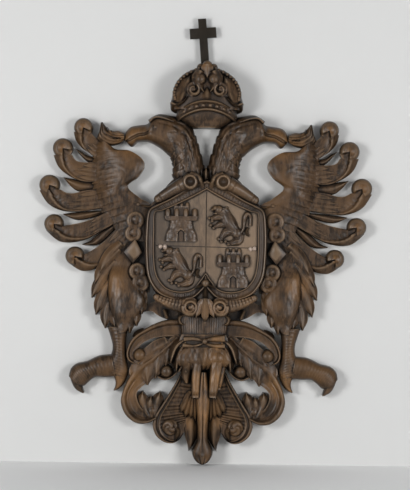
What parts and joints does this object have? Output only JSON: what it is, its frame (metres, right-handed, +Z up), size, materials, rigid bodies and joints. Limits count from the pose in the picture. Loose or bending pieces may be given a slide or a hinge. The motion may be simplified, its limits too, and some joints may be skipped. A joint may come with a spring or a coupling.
{
  "type": "carved coat of arms",
  "caption": "Carved walnut wall relief of a crowned double-headed eagle with spread wings, a laid-on quartered shield, a hanging lamb, scrollwork below and a small flat cross above.",
  "frame": {"origin": "on the flat back, on the centre line, behind the upper part of the shield", "axes": "+Z up, the carved front faces -Y, the flat back lies on Y = 0 and faces +Y, +X to the viewer's right"},
  "size_m": [0.7526, 0.096, 1.0058],
  "materials": {
    "walnut": "old dark walnut, hand-carved and waxed to a satin sheen, darker in the hollows and worn warm brown on the high parts",
    "grey_walnut": "the same walnut, paler and greyer, with little wax left on it",
    "blackened_wood": "thin flat wood, stained nearly black and dull"
  },
  "bodies": {
    "root": {"eagle": "walnut", "shield": "grey_walnut", "cross": "blackened_wood"}
  },
  "joints": []
}
